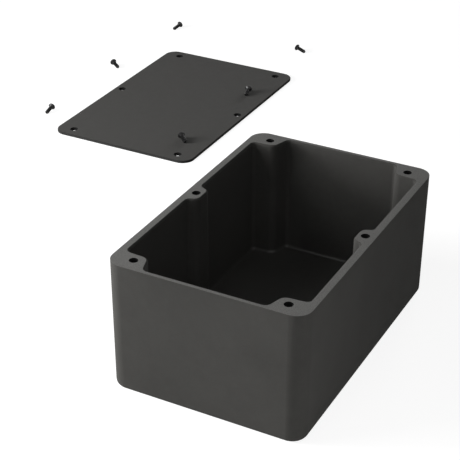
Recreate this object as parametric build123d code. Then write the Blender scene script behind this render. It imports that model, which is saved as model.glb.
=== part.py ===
from build123d import *
import os
from math import atan2, cos, degrees, radians, sin, tan

# Die cast enclosure, opened: a deep box with six screw bosses cast into its
# walls, its flat lid lying beside it, and the six countersunk screws that
# fasten the lid, lying loose round it.
# Millimetres. X runs across the box, Y along it and Z up. The origin is the
# centre of the box's underside, and everything rests on the plane Z = 0.

# Outside of the box, measured at the rim
box_width = 120.0
box_length = 184.5
box_height = 82.3
corner_radius = 9.5
outer_draft = 0.3
base_edge_radius = 3.6

# Walls, measured at the rim, and the floor
side_wall = 5.0
end_wall = 3.0
floor_thickness = 5.0
inner_draft = 0.5
floor_fillet = 2.2
rim_inner_chamfer = 0.8

# Screw bosses, measured at the rim. A hole's place is its distance in from the
# outside, and a boss's reach is how far it goes on past the hole's centre. A
# splay is how far a boss's side turns outwards on its way to the wall, in degrees.
corner_hole_from_side = 13.6
corner_hole_from_end = 9.05
corner_boss_reach = 6.1
corner_boss_side_splay = 4.0
corner_boss_end_splay = 17.0
corner_boss_radius = 5.5
corner_boss_root = 3.0
middle_hole_from_side = 6.2
middle_boss_reach = 5.1
middle_boss_flat = 6.4
middle_boss_side_angle = 70.0
middle_boss_radius = 5.0
middle_boss_root = 2.6

# Countersunk machine screw with a cross recess
screw_diameter = 3.0
screw_length = 10.0
head_diameter = 5.5
head_land = 0.25
head_angle = 90.0
recess_width = 3.0
recess_root_width = 1.4
recess_slot = 0.7
recess_depth = 1.4

# Holes in the bosses: a plain relief at the mouth, then the tapped bore, which
# stands at the thread's outside diameter
relief_diameter = 5.2
relief_depth = 3.5
bore_depth = 14.0
bore_clearance = 0.05

# Lid
lid_thickness = 2.0
lid_edge_chamfer = 0.3
lid_hole_clearance = 0.2
countersink_clearance = 0.05

# Where the lid lies: its gaps from the box, to the left and to the back
lid_gap_across = 95.3
lid_gap_along = 76.3

# Where each screw lies, measured from the lid hole that it came out of: across,
# along, the way that its head points, and how far it has rolled, in degrees
left_screws = [(-37.9, 25.5, 98.0, 10.0), (-35.8, 43.6, 146.0, 35.0), (-36.0, 64.6, 84.0, 60.0)]
right_screws = [(-11.1, 25.1, 137.0, 75.0), (-12.7, 44.3, 104.0, 20.0), (-10.5, 65.3, 158.0, 50.0)]
left_rest_on_lid = [False, False, False]
right_rest_on_lid = [True, True, False]
resting_clearance = 0.02

# Worked out from the sizes above
cavity_depth = box_height - floor_thickness
inner_half_width = box_width / 2 - side_wall
inner_half_length = box_length / 2 - end_wall
corner_hole_x = box_width / 2 - corner_hole_from_side
corner_hole_y = box_length / 2 - corner_hole_from_end
middle_hole_x = box_width / 2 - middle_hole_from_side
head_radius = head_diameter / 2
shank_radius = screw_diameter / 2
bore_radius = shank_radius + bore_clearance
head_flank = tan(radians(head_angle / 2))
head_height = head_land + (head_radius - shank_radius) / head_flank
lid_centre_x = -(box_width + lid_gap_across)
lid_centre_y = box_length + lid_gap_along
hanging = (Align.CENTER, Align.CENTER, Align.MAX)
touching = 0.05


def hole_centres(side):
    """The three hole centres on one long side, from the front of the box to its back."""
    return [
        (side * corner_hole_x, -corner_hole_y),
        (side * middle_hole_x, 0),
        (side * corner_hole_x, corner_hole_y),
    ]


def prism_below_rim(outline, depth, draft_angle):
    """A prism from the rim's plane down. With a positive draft it widens on the way down."""
    prism = Pos(0, 0, box_height - depth) * extrude(outline, depth)
    upright_faces = [face for face in prism.faces() if abs(face.normal_at().Z) < touching]
    return draft(upright_faces, Plane.XY.offset(box_height), draft_angle)


def upright_edges(solid):
    """The edges of a prism that run down and not round."""
    return [edge for edge in solid.edges() if edge.bounding_box().size.Z > cavity_depth / 2]


def outer_form():
    """The outside of the box, drafted inwards from the rim to the rounded base edge."""
    block = prism_below_rim(Rectangle(box_width, box_length), box_height, -outer_draft)
    block = fillet(upright_edges(block), corner_radius)
    return fillet(block.edges().group_by(Axis.Z)[0], base_edge_radius)


def corner_boss():
    """The back right boss before rounding: a block over the corner, splayed to both walls."""
    side = box_width / 2
    end = box_length / 2
    free_x = corner_hole_x - corner_boss_reach
    free_y = corner_hole_y - corner_boss_reach
    side_y = free_y - (side - free_x) * tan(radians(corner_boss_side_splay))
    end_x = free_x - (end - free_y) * tan(radians(corner_boss_end_splay))
    corners = [(free_x, free_y), (side, side_y), (side, end), (end_x, end)]
    return prism_below_rim(make_face(Polyline(*corners, close=True)), box_height, inner_draft)


def middle_boss():
    """The right middle boss before rounding: a flat front, and sides that splay to the wall."""
    side_angle = radians(middle_boss_side_angle)
    front = middle_hole_x - middle_boss_reach
    back = box_width / 2
    front_half = middle_boss_flat / 2 + middle_boss_radius * tan(side_angle / 2)
    back_half = front_half + (back - front) / tan(side_angle)
    corners = [(front, -front_half), (back, -back_half), (back, back_half), (front, front_half)]
    return prism_below_rim(make_face(Polyline(*corners, close=True)), box_height, inner_draft)


def is_root(edge):
    """Whether an upright edge of the cavity is one where a boss runs into a wall."""
    rim_end = max(edge.vertices(), key=lambda corner: corner.Z)
    on_side = abs(abs(rim_end.X) - inner_half_width) < touching
    on_end = abs(abs(rim_end.Y) - inner_half_length) < touching
    return on_side or on_end


def is_middle(edge):
    """Whether an upright edge of the cavity belongs to a middle boss and not to a corner one."""
    return abs(edge.center().Y) < corner_hole_y / 2


def cavity():
    """The hollow of the box as a solid: drafted walls, less the bosses, rounded all round."""
    mouth = Rectangle(2 * inner_half_width, 2 * inner_half_length)
    hollow = prism_below_rim(mouth, cavity_depth, -inner_draft)
    back_boss = corner_boss()
    for boss in [back_boss, middle_boss(), back_boss.mirror(Plane.XZ)]:
        hollow -= boss
        hollow -= boss.mirror(Plane.YZ)
    roundings = [
        (False, False, corner_boss_radius),
        (False, True, middle_boss_radius),
        (True, False, corner_boss_root),
        (True, True, middle_boss_root),
    ]
    for root, middle, radius in roundings:
        upright = upright_edges(hollow)
        chosen = [edge for edge in upright if is_root(edge) == root and is_middle(edge) == middle]
        hollow = fillet(chosen, radius)
    return fillet(hollow.edges().group_by(Axis.Z)[0], floor_fillet)


def is_inside_rim(edge):
    """Whether an edge of the rim face belongs to its inner outline."""
    place = edge.center()
    return abs(place.X) < inner_half_width + touching and abs(place.Y) < inner_half_length + touching


def screw_hole():
    """The blind hole below a point on the rim, as a solid: a relief, then the tapped bore."""
    relief = Cylinder(relief_diameter / 2, relief_depth, align=hanging)
    return relief + Cylinder(bore_radius, bore_depth, align=hanging)


def enclosure_box():
    """The box: one casting, with its rim ground flat, eased on the inside, and six screw holes."""
    casting = outer_form() - cavity()
    rim_edges = casting.edges().group_by(Axis.Z)[-1]
    casting = chamfer([edge for edge in rim_edges if is_inside_rim(edge)], rim_inner_chamfer)
    hole = screw_hole()
    for x, y in hole_centres(-1) + hole_centres(1):
        casting -= Pos(x, y, box_height) * hole
    return casting


def lid_hole():
    """A clearance hole with its countersink, as a solid, below a point on the lid's upper face."""
    through_radius = shank_radius + lid_hole_clearance
    mouth_radius = head_radius + (head_land + countersink_clearance) * head_flank
    sink_depth = (mouth_radius - through_radius) / head_flank
    through = Cylinder(through_radius, lid_thickness, align=hanging)
    return through + Cone(through_radius, mouth_radius, sink_depth, align=hanging)


def lid():
    """The lid: a flat plate in the rim's outline, underside on Z = 0, with six countersunk holes."""
    plate = extrude(RectangleRounded(box_width, box_length, corner_radius), lid_thickness)
    plate = chamfer(plate.edges().group_by(Axis.Z)[-1], lid_edge_chamfer)
    hole = lid_hole()
    for x, y in hole_centres(-1) + hole_centres(1):
        plate -= Pos(x, y, lid_thickness) * hole
    return plate


def cross_recess():
    """The driver's recess, as a solid: two crossed slots whose ends slope in to a narrow root."""
    half_top = recess_width / 2
    half_root = recess_root_width / 2
    corners = [(-half_top, 0), (half_top, 0), (half_root, -recess_depth), (-half_root, -recess_depth)]
    slot_side = Plane.XZ * make_face(Polyline(*corners, close=True))
    slot = extrude(slot_side, recess_slot / 2, both=True)
    return slot + Rot(0, 0, 90) * slot


def screw():
    """One screw, head up: its flat top lies on Z = 0 and its shank hangs below."""
    half_section = Polyline(
        (0, 0),
        (head_radius, 0),
        (head_radius, -head_land),
        (shank_radius, -head_height),
        (shank_radius, -screw_length),
        (0, -screw_length),
        close=True,
    )
    body = revolve(Plane.XZ * make_face(half_section), Axis.Z)
    return body - cross_recess()


def lying_screw(x, y, surface, heading, roll):
    """The screw on its side: the edge of its head and the edge of its tip touch the surface."""
    lean = atan2(head_radius - shank_radius, screw_length - head_land)
    head_centre = head_radius * cos(lean) + head_land * sin(lean) + resting_clearance
    turned = Rot(0, 0, heading) * Rot(0, 90 - degrees(lean), 0) * Rot(0, 0, roll)
    return Pos(x, y, surface + head_centre) * turned * screw()


def lid_screws():
    """The six loose screws, some on the lid and the others on the surface round it."""
    rows = [(-1, left_screws, left_rest_on_lid), (1, right_screws, right_rest_on_lid)]
    screws = []
    for side, places, rests in rows:
        for hole, place, on_lid in zip(hole_centres(side), places, rests):
            across, along, heading, roll = place
            x = lid_centre_x + hole[0] + across
            y = lid_centre_y + hole[1] + along
            surface = lid_thickness if on_lid else 0
            screws.append(lying_screw(x, y, surface, heading, roll))
    return Compound(children=screws)


os.makedirs("parts", exist_ok=True)
export_step(enclosure_box(), "parts/enclosure_box.step")
export_step(Pos(lid_centre_x, lid_centre_y, 0) * lid(), "parts/lid.step")
export_step(lid_screws(), "parts/lid_screws.step")
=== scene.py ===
from math import atan2, cos, pi, radians, sin

import bmesh
import bpy
from mathutils import Matrix, Vector


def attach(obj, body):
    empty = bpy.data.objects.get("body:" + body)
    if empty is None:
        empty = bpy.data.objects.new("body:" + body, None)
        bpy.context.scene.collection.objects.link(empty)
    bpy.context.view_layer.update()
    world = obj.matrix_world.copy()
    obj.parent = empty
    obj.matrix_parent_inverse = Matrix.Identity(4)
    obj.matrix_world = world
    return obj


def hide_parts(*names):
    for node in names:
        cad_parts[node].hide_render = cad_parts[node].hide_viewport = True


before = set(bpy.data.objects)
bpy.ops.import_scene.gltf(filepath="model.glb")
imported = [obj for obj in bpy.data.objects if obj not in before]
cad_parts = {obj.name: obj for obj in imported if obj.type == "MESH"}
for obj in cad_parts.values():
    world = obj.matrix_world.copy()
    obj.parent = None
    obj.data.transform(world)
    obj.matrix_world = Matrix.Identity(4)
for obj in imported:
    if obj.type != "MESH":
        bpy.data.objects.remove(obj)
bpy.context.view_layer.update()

# Opened die cast enclosure: the box and the lid are the CAD nodes, dressed in
# paint. The six loose screws are modelled again with real threads, and the
# bores in the box get threads of their own. Metres throughout.

# What the CAD nodes fill, before anything is added
mm = 0.001

# Box and lid, as in the CAD
box_width = 120.0 * mm
box_length = 184.5 * mm
box_height = 82.3 * mm
side_wall = 5.0 * mm
end_wall = 3.0 * mm
floor_thickness = 5.0 * mm
rim_inner_chamfer = 0.8 * mm
corner_hole_from_side = 13.6 * mm
corner_hole_from_end = 9.05 * mm
middle_hole_from_side = 6.2 * mm
relief_radius = 2.6 * mm
relief_depth = 3.5 * mm
bore_depth = 14.0 * mm
bore_clearance = 0.05 * mm
lid_thickness = 2.0 * mm
countersink_clearance = 0.05 * mm
lid_gap_across = 95.3 * mm
lid_gap_along = 76.3 * mm

# Screws, as in the CAD
screw_length = 10.0 * mm
shank_radius = 1.5 * mm
head_radius = 2.75 * mm
head_land = 0.25 * mm
recess_half_width = 1.5 * mm
recess_root_half_width = 0.7 * mm
recess_slot = 0.7 * mm
recess_depth = 1.4 * mm
resting_clearance = 0.02 * mm

# What the CAD screw leaves out: the M3 coarse thread, whose crest, flanks and
# root are shares of its pitch, the neck under the head and the tapered tip.
# The thread runs out over a share of the neck.
pitch = 0.5 * mm
crest_share = 0.125
flank_share = 0.3125
root_share = 0.25
thread_root_radius = 1.2 * mm
neck_radius = 1.3 * mm
neck_length = 0.5 * mm
neck_run_out = 0.6
tip_radius = 1.05 * mm
tip_length = 0.7 * mm

# The screw's head: its eased edges, how its cone runs out into the neck, and
# how much the slots of its recess narrow
head_edge = 0.06 * mm
land_edge = 0.03 * mm
underhead_gap = 0.15 * mm
underhead_flare = 0.05 * mm
underhead_rise = 0.2 * mm
recess_taper = 0.15

# The thread in a bore: its ridge starts below the relief and is rooted a little
# way in the bore's wall. It makes two turns fewer than the bore is pitches
# deep, so that it stops short of the bore's bottom. Its foot and its crest
# begin at these shares of the pitch.
inner_thread_radius = 1.27 * mm
inner_thread_start = 0.2 * mm
inner_thread_overlap = 0.03 * mm
ridge_foot_share = 0.04
ridge_crest_share = 0.38
spare_turns = 2

# Worked out from the sizes above. The countersinks slope at 45 degrees.
corner_hole_x = box_width / 2 - corner_hole_from_side
corner_hole_y = box_length / 2 - corner_hole_from_end
middle_hole_x = box_width / 2 - middle_hole_from_side
bore_radius = shank_radius + bore_clearance
lid_hole_radius = head_radius + head_land + countersink_clearance
lid_centre_x = -(box_width + lid_gap_across)
lid_centre_y = box_length + lid_gap_along

# Each screw's place from its own lid hole in millimetres, its heading and its
# roll in degrees, and whether it lies on the lid, from the front to the back
left_screws = [
    (-37.9, 25.5, 98.0, 10.0, False),
    (-35.8, 43.6, 146.0, 35.0, False),
    (-36.0, 64.6, 84.0, 60.0, False),
]
right_screws = [
    (-11.1, 25.1, 137.0, 75.0, True),
    (-12.7, 44.3, 104.0, 20.0, True),
    (-10.5, 65.3, 158.0, 50.0, False),
]

# Patterns in the materials: the size of their features, their detail and how
# rough that detail is
paint_patches = (38.0 * mm, 3.0, 0.5)
paint_clouds = (4.5 * mm, 3.0, 0.5)
paint_flecks = (0.7 * mm, 4.0, 0.6)
flat_specks = (0.6 * mm, 3.0, 0.8)
orange_peel = (1.6 * mm, 2.0, 0.5)
paint_grain = (0.35 * mm, 3.0, 0.6)
steel_patches = (1.2 * mm, 4.0, 0.6)
steel_scuffs = (0.25 * mm, 3.0, 0.5)
paper_grain = (2.5 * mm, 3.0, 0.5)

# Bumps: how high they are, and how strongly they show
peel_bump = (0.035 * mm, 0.6)
grain_bump = (0.012 * mm, 0.5)
scuff_bump = (0.008 * mm, 0.5)

# Paint: how much each pattern counts in its mottle, how far its shade drifts,
# how rough it is, how soft its edges look, the coat that makes it glossier
# inside the box, and the near black painted shadow put in the holes
mottle_parts = [(paint_patches, 0.45), (paint_clouds, 0.30), (paint_flecks, 0.25)]
shade_drift = 0.12
paint_roughness = (0.84, 0.94)
edge_softness = 0.25 * mm
inner_coat = 0.3
inner_coat_roughness = 0.36
painted_hole_shadow = (0.006, 0.006, 0.006, 1.0)

# Blackened steel: its two shades, the part of the patches' noise over which
# one turns into the other, and how rough it is
steel_darker = (0.006, 0.006, 0.007, 1.0)
steel_lighter = (0.016, 0.016, 0.015, 1.0)
steel_patch_range = (0.35, 0.7)
steel_roughness = (0.24, 0.38)

# Masks: how far one reaches past the faces that it is for, and how upright a
# normal is where a face begins to count as level and where it fully does
mask_margin = 0.05 * mm
level_range = (0.80, 0.90)

# Where most of Blender's noise lies, and where nearly all of it does
noise_range = (0.35, 0.65)
wide_noise_range = (0.3, 0.7)

# Meshes: what is welded or dissolved, and the angle that stays crisp
weld_distance = 0.002 * mm
smallest_edge = 0.001 * mm
crease_angle = radians(32.0)

# Camera, fitted to the edges and rim holes of the box in the photograph
camera_place = (0.29247, -0.61899, 0.46318)
camera_azimuth = radians(27.614)
camera_elevation = radians(29.795)
camera_roll = radians(0.262)
camera_lens = 106.99
camera_sensor = 36.0

# Lamps: where each stands, how wide it is and its power in watts. They are
# fitted to the light and dark of the faces in the photograph, except the one
# at the back, which only keeps the hidden back from going black.
lamps = {
    "key_light": ((-0.90, -0.35, 0.25), 0.4, 15.0),
    "upper_left_light": ((-0.45, -0.35, 0.45), 0.3, 1.85),
    "front_light": ((0.00, -0.75, 0.85), 0.4, 0.96),
    "right_light": ((0.50, -0.45, 0.45), 0.3, 0.60),
    "near_right_light": ((0.20, -0.15, 0.03), 0.08, 0.082),
    "back_light": ((-0.20, 1.60, 0.28), 0.5, 7.6),
}
light_target = (-0.03, 0.05, 0.04)

# Floor: how far it reaches, its greys where it lights the object and where it
# is seen, and how much it glows where it is seen
floor_reach = 6.0
lighting_greys = (0.86, 0.89)
seen_greys = (0.30, 0.32)
paper_glow = 0.88


def hole_centres(side):
    """The three hole centres on one long side, from the front to the back."""
    return [
        (side * corner_hole_x, -corner_hole_y),
        (side * middle_hole_x, 0.0),
        (side * corner_hole_x, corner_hole_y),
    ]


class Nodes:
    """The node tree of a material or of the world, with short calls for the nodes used here."""

    def __init__(self, owner, output_kind="ShaderNodeOutputMaterial"):
        self.owner = owner
        owner.use_nodes = True
        self.tree = owner.node_tree
        self.tree.nodes.clear()
        self.output = self.tree.nodes.new(output_kind)

    def add(self, kind, inputs, **settings):
        """A node of that kind. Its inputs go by name or number."""
        made = self.tree.nodes.new(kind)
        for name, value in settings.items():
            setattr(made, name, value)
        for key, value in inputs.items():
            self.set(made.inputs[key], value)
        return made

    def set(self, socket, value):
        """Links the socket to another node's output, or gives it a value of its own."""
        if isinstance(value, bpy.types.NodeSocket):
            self.tree.links.new(value, socket)
        else:
            socket.default_value = value

    def finish(self, surface):
        """Shows that shader, and returns the material or the world."""
        self.tree.links.new(surface, self.output.inputs["Surface"])
        return self.owner

    def place(self):
        """Position on the object, in metres."""
        return self.add("ShaderNodeTexCoord", {}).outputs["Object"]

    def normal(self):
        """The direction that the surface faces."""
        return self.add("ShaderNodeNewGeometry", {}).outputs["Normal"]

    def split(self, vector):
        """The outputs X, Y and Z of that vector."""
        return self.add("ShaderNodeSeparateXYZ", {"Vector": vector}).outputs

    def noise(self, size, detail, roughness):
        """Cloudy noise with features of about that size in metres, round 0.5."""
        inputs = {"Vector": self.place(), "Scale": 1.0 / size, "Detail": detail, "Roughness": roughness}
        return self.add("ShaderNodeTexNoise", inputs).outputs["Fac"]

    def math(self, operation, first, second=0.5):
        """One arithmetic step."""
        return self.add("ShaderNodeMath", {0: first, 1: second}, operation=operation).outputs[0]

    def product(self, *factors):
        """All of them multiplied, which for masks is where all of them are 1."""
        result = factors[0]
        for factor in factors[1:]:
            result = self.math("MULTIPLY", result, factor)
        return result

    def spread(self, value, low, high, out_low=0.0, out_high=1.0):
        """Maps low..high onto out_low..out_high, clamped."""
        inputs = {"Value": value, "From Min": low, "From Max": high, "To Min": out_low, "To Max": out_high}
        return self.add("ShaderNodeMapRange", inputs).outputs["Result"]

    def blend(self, factor, first, second):
        """Mixes two colours, which are inputs 6 and 7 of Blender's node."""
        return self.add("ShaderNodeMix", {0: factor, 6: first, 7: second}, data_type="RGBA").outputs[2]

    def bump(self, pattern, height, strength):
        """A bump node that raises the surface with the pattern, by up to that height in metres."""
        return self.add("ShaderNodeBump", {"Height": pattern, "Distance": height, "Strength": strength})


def grey(value):
    """A neutral colour."""
    return (value, value, value, 1.0)


def uneven(nodes, pattern, colour, share):
    """The colour, which the pattern makes darker and lighter by up to that share."""
    darker = tuple(part * (1.0 - share) for part in colour) + (1.0,)
    lighter = tuple(part * (1.0 + share) for part in colour) + (1.0,)
    return nodes.blend(nodes.spread(pattern, *noise_range), darker, lighter)


def mottle(nodes):
    """A soft pattern in three sizes, from broad patches to flecks."""
    total = 0.0
    for pattern, share in mottle_parts:
        total = nodes.math("ADD", total, nodes.product(nodes.noise(*pattern), share))
    return total


def flat_faces(nodes, place, lowest):
    """A mask that is 1 on the level faces above that height."""
    upright = nodes.math("ABSOLUTE", nodes.split(nodes.normal())["Z"])
    level = nodes.spread(upright, *level_range)
    high_enough = nodes.math("GREATER_THAN", place["Z"], lowest)
    return nodes.product(level, high_enough)


def in_holes(nodes, place, centres, radius, highest):
    """A mask that is 1 inside that radius of any of the upright axes, below that height, where the holes get
    their painted shadow.
    """
    nearest = None
    for x, y in centres:
        across = nodes.math("SUBTRACT", place["X"], x)
        along = nodes.math("SUBTRACT", place["Y"], y)
        squared = nodes.math("ADD", nodes.product(across, across), nodes.product(along, along))
        nearest = squared if nearest is None else nodes.math("MINIMUM", nearest, squared)
    near = nodes.math("LESS_THAN", nearest, radius * radius)
    below = nodes.math("LESS_THAN", place["Z"], highest)
    return nodes.product(near, below)


def inside_box(nodes, place):
    """A mask that is 1 on the walls and floor of the cavity."""
    half_width = box_width / 2 - side_wall + mask_margin
    half_length = box_length / 2 - end_wall + mask_margin
    rim_depth = rim_inner_chamfer + mask_margin
    across = nodes.math("LESS_THAN", nodes.math("ABSOLUTE", place["X"]), half_width)
    along = nodes.math("LESS_THAN", nodes.math("ABSOLUTE", place["Y"]), half_length)
    below_rim = nodes.math("LESS_THAN", place["Z"], box_height - rim_depth)
    above_floor = nodes.math("GREATER_THAN", place["Z"], floor_thickness - mask_margin)
    return nodes.product(across, along, below_rim, above_floor)


def painted_surface(nodes):
    """The normal of the paint: softened edges, orange peel and a fine grain."""
    softened = nodes.add("ShaderNodeBevel", {"Radius": edge_softness}, samples=6)
    peel = nodes.bump(nodes.noise(*orange_peel), *peel_bump)
    grain = nodes.bump(nodes.noise(*paint_grain), *grain_bump)
    nodes.set(peel.inputs["Normal"], softened.outputs["Normal"])
    nodes.set(grain.inputs["Normal"], peel.outputs["Normal"])
    return grain.outputs["Normal"]


def paint(name, shade, flat_shade, speckle, top, flat_depth, holes, hole_radius, glossy_inside):
    """Matt paint over a casting: flat faces down to that depth are speckled and take flat_shade, the rest
    takes shade, and holes are dark with painted shadow. On the box, flat_shade paints light on the rim's
    top; on the lid, shade paints a dark outline, painted shade, on its sides.
    """
    nodes = Nodes(bpy.data.materials.new(name))
    place = nodes.split(nodes.place())
    body_colour = uneven(nodes, mottle(nodes), shade, shade_drift)
    flat_colour = uneven(nodes, nodes.noise(*flat_specks), flat_shade, speckle)
    colour = nodes.blend(flat_faces(nodes, place, top - flat_depth), body_colour, flat_colour)
    # Painted shadow: inside the holes the colour turns near black, standing for the shade in them.
    dark = in_holes(nodes, place, holes, hole_radius + mask_margin, top - mask_margin)
    surface = painted_surface(nodes)
    inputs = {
        "Base Color": nodes.blend(dark, colour, painted_hole_shadow),
        "Metallic": 0.0,
        "IOR": 1.45,
        "Specular IOR Level": 0.12,
        "Roughness": nodes.spread(nodes.noise(*paint_clouds), *wide_noise_range, *paint_roughness),
        "Normal": surface,
    }
    if glossy_inside:
        inputs["Coat Weight"] = nodes.math("MULTIPLY", inside_box(nodes, place), inner_coat)
        inputs["Coat Roughness"] = inner_coat_roughness
        inputs["Coat Normal"] = surface
    return nodes.finish(nodes.add("ShaderNodeBsdfPrincipled", inputs).outputs["BSDF"])


def black_steel(name):
    """Blackened steel: a dark metal with faint mottling and fine scuffs."""
    nodes = Nodes(bpy.data.materials.new(name))
    patches = nodes.noise(*steel_patches)
    scuffs = nodes.bump(nodes.noise(*steel_scuffs), *scuff_bump)
    inputs = {
        "Base Color": nodes.blend(nodes.spread(patches, *steel_patch_range), steel_darker, steel_lighter),
        "Metallic": 0.2,
        "Specular IOR Level": 0.25,
        "Roughness": nodes.spread(patches, *wide_noise_range, *steel_roughness),
        "Normal": scuffs.outputs["Normal"],
    }
    return nodes.finish(nodes.add("ShaderNodeBsdfPrincipled", inputs).outputs["BSDF"])


def seen_rays(nodes):
    """1 on what the camera sees, also in reflections and through things, and 0 on what lights the scene."""
    rays = nodes.add("ShaderNodeLightPath", {}).outputs
    seen = nodes.math("MAXIMUM", rays["Is Camera Ray"], rays["Is Glossy Ray"])
    return nodes.math("MAXIMUM", seen, rays["Is Transmission Ray"])


def studio_floor(name):
    """White paper that keeps the shadow, and is lifted to white where it is seen."""
    nodes = Nodes(bpy.data.materials.new(name))
    seen = seen_rays(nodes)
    grain = nodes.noise(*paper_grain)
    lighting_paper = nodes.blend(grain, *map(grey, lighting_greys))
    seen_paper = nodes.blend(grain, *map(grey, seen_greys))
    matt = nodes.add("ShaderNodeBsdfDiffuse", {"Color": nodes.blend(seen, lighting_paper, seen_paper)})
    lift = nodes.math("MULTIPLY", seen, paper_glow)
    glow = nodes.add("ShaderNodeEmission", {"Color": grey(1.0), "Strength": lift})
    both = nodes.add("ShaderNodeAddShader", {0: matt.outputs["BSDF"], 1: glow.outputs["Emission"]})
    return nodes.finish(both.outputs["Shader"])


def set_world():
    """White where the camera or a reflection looks past the floor. It lights nothing else."""
    nodes = Nodes(bpy.data.worlds.new("studio"), "ShaderNodeOutputWorld")
    white = nodes.add("ShaderNodeBackground", {"Color": grey(1.0), "Strength": seen_rays(nodes)})
    bpy.context.scene.world = nodes.finish(white.outputs["Background"])


def put(name, data):
    """A new object in the scene, with that mesh, lamp or camera."""
    made = bpy.data.objects.new(name, data)
    bpy.context.scene.collection.objects.link(made)
    return made


def add_light(name, place, width, power):
    """A square soft lamp that faces the object."""
    lamp = bpy.data.lights.new(name, "AREA")
    lamp.size = width
    lamp.energy = power
    made = put(name, lamp)
    made.location = place
    made.visible_camera = False
    made.rotation_euler = (Vector(light_target) - Vector(place)).to_track_quat("-Z", "Y").to_euler()


def add_camera():
    """The camera of the photograph."""
    lens = bpy.data.cameras.new("camera")
    lens.lens = camera_lens
    lens.sensor_width = camera_sensor
    level = cos(camera_elevation)
    back = Vector((sin(camera_azimuth) * level, -cos(camera_azimuth) * level, sin(camera_elevation)))
    right = (-back).cross(Vector((0.0, 0.0, 1.0))).normalized()
    up = right.cross(-back)
    rolled_right = cos(camera_roll) * right + sin(camera_roll) * up
    rolled_up = -sin(camera_roll) * right + cos(camera_roll) * up
    turn = Matrix((rolled_right, rolled_up, back)).transposed()
    made = put("camera", lens)
    made.matrix_world = Matrix.Translation(camera_place) @ turn.to_4x4()
    bpy.context.scene.camera = made


def add_floor():
    """The paper that everything rests on."""
    mesh = bpy.data.meshes.new("studio_floor")
    quarters = [(-1, -1), (1, -1), (1, 1), (-1, 1)]
    corners = [(x * floor_reach, y * floor_reach, 0.0) for x, y in quarters]
    mesh.from_pydata(corners, [], [(0, 1, 2, 3)])
    mesh.materials.append(studio_floor("studio_paper"))
    floor = put("studio_floor", mesh)


def soften(data):
    """Smooth shading, with the edges beyond the crease angle kept crisp."""
    data.shade_smooth()
    data.set_sharp_from_angle(angle=crease_angle)


def finished(name, mesh, material=None):
    """Turns working geometry into an object with soft curves and crisp edges."""
    data = bpy.data.meshes.new(name)
    mesh.to_mesh(data)
    mesh.free()
    soften(data)
    if material is not None:
        data.materials.append(material)
    return put(name, data)


def round_vertex(mesh, radius, share, height, centre=(0.0, 0.0)):
    """A vertex at that radius and height, that share of a turn round the upright axis."""
    angle = 2 * pi * share
    return mesh.verts.new((centre[0] + radius * cos(angle), centre[1] + radius * sin(angle), height))


def join_rings(mesh, first, second):
    """Closes the band of faces between two rings of as many vertices."""
    count = len(first)
    for index in range(count):
        following = (index + 1) % count
        mesh.faces.new((first[index], first[following], second[following], second[index]))


def shank_narrowed(radius, height, top):
    """The shank's radius at that height, where the thread alone would give that one."""
    from_tip = height + screw_length
    radius = min(radius, tip_radius + (shank_radius - tip_radius) * from_tip / tip_length)
    into_neck = height - (top - neck_length)
    if into_neck <= 0:
        return radius
    closeness = min(1.0, into_neck / (neck_length * neck_run_out))
    return radius + (neck_radius - radius) * closeness


def add_threaded_shank(mesh, columns, top):
    """Adds the threaded shank to the mesh, from its tip up to that height.

    Each row of vertices climbs by one pitch on its way round, so where it has
    come round, it meets the row that starts one turn further up. The rows
    begin below the tip and end above the top, and are cut off level at both.
    """
    section = [
        (0.0, shank_radius),
        (crest_share, shank_radius),
        (crest_share + flank_share, thread_root_radius),
        (crest_share + flank_share + root_share, thread_root_radius),
    ]
    last_turn = int((top + screw_length) / pitch) + 2
    rows = []
    for turn in range(-2, last_turn):
        for phase, radius in section:
            row = []
            for column in range(columns):
                share = column / columns
                height = (turn + phase + share) * pitch - screw_length
                height = max(-screw_length, min(top, height))
                row.append(round_vertex(mesh, shank_narrowed(radius, height, top), share, height))
            rows.append(row)
    for lower in range(len(rows) - len(section)):
        for column in range(columns):
            next_lower = lower
            next_column = column + 1
            if next_column == columns:
                next_lower = lower + len(section)
                next_column = 0
            if next_lower + 1 < len(rows):
                low = rows[lower][column]
                high = rows[lower + 1][column]
                next_low = rows[next_lower][next_column]
                next_high = rows[next_lower + 1][next_column]
                mesh.faces.new((low, next_low, next_high, high))


def add_lathed(mesh, columns, profile):
    """Adds a form turned from that (radius, height) profile, and closes its top."""
    previous = None
    for radius, height in profile:
        ring = [round_vertex(mesh, radius, column / columns, height) for column in range(columns)]
        if previous is not None:
            join_rings(mesh, previous, ring)
        previous = ring
    mesh.faces.new(previous)


def cross_cutter():
    """The driver's recess as a closed object: a cross that narrows to its root."""
    mesh = bmesh.new()
    above = 0.5 * mm
    slope = (recess_half_width - recess_root_half_width) / recess_depth
    levels = [
        (recess_half_width + slope * above, recess_slot / 2 * (1.0 + recess_taper), above),
        (recess_root_half_width, recess_slot / 2 * (1.0 - recess_taper), -recess_depth),
    ]
    rings = []
    for reach, half, height in levels:
        ring = []
        quarter = [(reach, -half), (reach, half), (half, half)]
        for _ in range(4):
            ring += [mesh.verts.new((x, y, height)) for x, y in quarter]
            quarter = [(-y, x) for x, y in quarter]
        rings.append(ring)
    upper, lower = rings
    join_rings(mesh, upper, lower)
    mesh.faces.new(upper)
    mesh.faces.new(lower[::-1])
    bmesh.ops.recalc_face_normals(mesh, faces=mesh.faces)
    return finished("recess_cutter", mesh)


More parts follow.
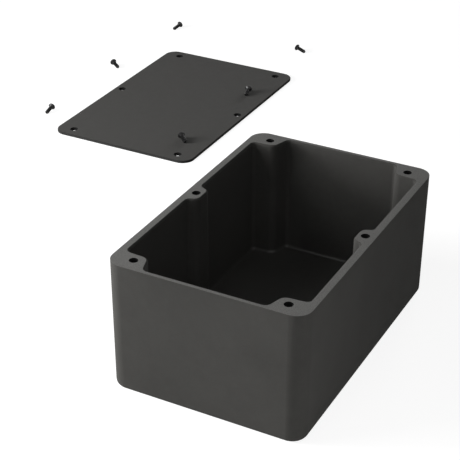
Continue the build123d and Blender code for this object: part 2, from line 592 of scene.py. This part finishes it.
def screw_blank(material):
    """The screw without its recess, as one closed object, head up with its top at zero."""
    columns = 40
    mesh = bmesh.new()
    neck_top = -head_land - (head_radius - shank_radius) - underhead_gap
    add_threaded_shank(mesh, columns, neck_top)
    profile = [
        (neck_radius, neck_top),
        (shank_radius + underhead_flare, neck_top + underhead_rise),
        (head_radius - land_edge, -head_land - land_edge),
        (head_radius, -head_land),
        (head_radius, -head_edge),
        (head_radius - head_edge, 0.0),
    ]
    add_lathed(mesh, columns, profile)
    bmesh.ops.remove_doubles(mesh, verts=mesh.verts, dist=weld_distance)
    bmesh.ops.dissolve_degenerate(mesh, edges=mesh.edges, dist=smallest_edge)
    open_edges = [line for line in mesh.edges if len(line.link_faces) == 1]
    bmesh.ops.holes_fill(mesh, edges=open_edges)
    bmesh.ops.recalc_face_normals(mesh, faces=mesh.faces)
    return finished("screw_blank", mesh, material)


def screw_mesh(material):
    """One screw, head up with its top at zero: helical thread, neck, countersunk head and recess."""
    blank = screw_blank(material)
    cutter = cross_cutter()
    cut = blank.modifiers.new("recess", "BOOLEAN")
    cut.operation = "DIFFERENCE"
    cut.object = cutter
    bpy.context.view_layer.update()
    recessed = blank.evaluated_get(bpy.context.evaluated_depsgraph_get())
    data = bpy.data.meshes.new_from_object(recessed)
    data.name = "lid_screw"
    soften(data)
    bpy.data.objects.remove(blank)
    bpy.data.objects.remove(cutter)
    return data


def lying_place(x, y, surface, heading, roll):
    """Where a screw lies: the edges of its head and of its tip touch the surface."""
    lean = atan2(head_radius - shank_radius, screw_length - head_land)
    height = head_radius * cos(lean) + head_land * sin(lean) + resting_clearance
    headed = Matrix.Rotation(heading, 4, "Z")
    laid = Matrix.Rotation(pi / 2 - lean, 4, "Y")
    rolled = Matrix.Rotation(roll, 4, "Z")
    return Matrix.Translation((x, y, surface + height)) @ headed @ laid @ rolled


def add_screws(material):
    """The six loose screws, which stand for the CAD node. Each one's place is baked into its mesh."""
    data = screw_mesh(material)
    number = 0
    for side, row in ((-1, left_screws), (1, right_screws)):
        for hole, (across, along, heading, roll, on_lid) in zip(hole_centres(side), row):
            number += 1
            x = lid_centre_x + hole[0] + across * mm
            y = lid_centre_y + hole[1] + along * mm
            surface = lid_thickness if on_lid else 0.0
            lying = data.copy()
            lying.transform(lying_place(x, y, surface, radians(heading), radians(roll)))
            screw = put(f"lid_screw_{number}", lying)
            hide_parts("lid_screws")
            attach(screw, "root")


def add_ridge(mesh, centre, section, top, turns):
    """Adds a closed helical ridge that runs down round that axis. Its section is (radius, drop) points."""
    columns = 24
    rings = []
    for step in range(columns * turns + 1):
        share = step / columns
        height = top - share * pitch
        rings.append([round_vertex(mesh, radius, -share, height - drop, centre) for radius, drop in section])
    for above, below in zip(rings, rings[1:]):
        join_rings(mesh, above, below)
    mesh.faces.new(rings[0][::-1])
    mesh.faces.new(rings[-1])


def add_bore_threads(material):
    """The ridges of the tapped threads, one helix in each bore of the box."""
    mesh = bmesh.new()
    turns = round((bore_depth - relief_depth) / pitch) - spare_turns
    top = box_height - relief_depth - inner_thread_start
    wall_radius = bore_radius + inner_thread_overlap
    section = [
        (wall_radius, ridge_foot_share * pitch),
        (inner_thread_radius, ridge_crest_share * pitch),
        (inner_thread_radius, (1 - ridge_crest_share) * pitch),
        (wall_radius, (1 - ridge_foot_share) * pitch),
    ]
    for centre in hole_centres(-1) + hole_centres(1):
        add_ridge(mesh, centre, section, top, turns)
    bmesh.ops.recalc_face_normals(mesh, faces=mesh.faces)
    threads = finished("bore_threads", mesh, material)
    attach(threads, "root")


def dress(node, material):
    """Gives a CAD node its material."""
    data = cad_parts[node].data
    data.materials.clear()
    data.materials.append(material)


box_holes = hole_centres(-1) + hole_centres(1)
lid_holes = [(lid_centre_x + x, lid_centre_y + y) for x, y in box_holes]
box_paint = paint(
    "box_paint",
    shade=(0.051, 0.050, 0.047),
    # Painted light: the rim's level top takes this lighter copy of the same paint, standing for the light
    # that falls on it.
    flat_shade=(0.162, 0.161, 0.155),
    speckle=0.25,
    top=box_height,
    flat_depth=rim_inner_chamfer + mask_margin,
    holes=box_holes,
    hole_radius=relief_radius,
    glossy_inside=True,
)
lid_paint = paint(
    "lid_paint",
    # Painted shade: the lid's sides and edge chamfers take this dark copy of its paint, a painted dark
    # outline.
    shade=(0.024, 0.024, 0.023),
    flat_shade=(0.071, 0.070, 0.067),
    speckle=0.06,
    top=lid_thickness,
    flat_depth=lid_thickness + mask_margin,
    holes=lid_holes,
    hole_radius=lid_hole_radius,
    glossy_inside=False,
)
dress("enclosure_box", box_paint)
dress("lid", lid_paint)
add_screws(black_steel("screw_steel"))
add_bore_threads(box_paint)
add_floor()
set_world()
for lamp_name, (lamp_place, lamp_width, lamp_power) in lamps.items():
    add_light(lamp_name, lamp_place, lamp_width, lamp_power)
add_camera()
bpy.context.scene.view_settings.view_transform = "Standard"
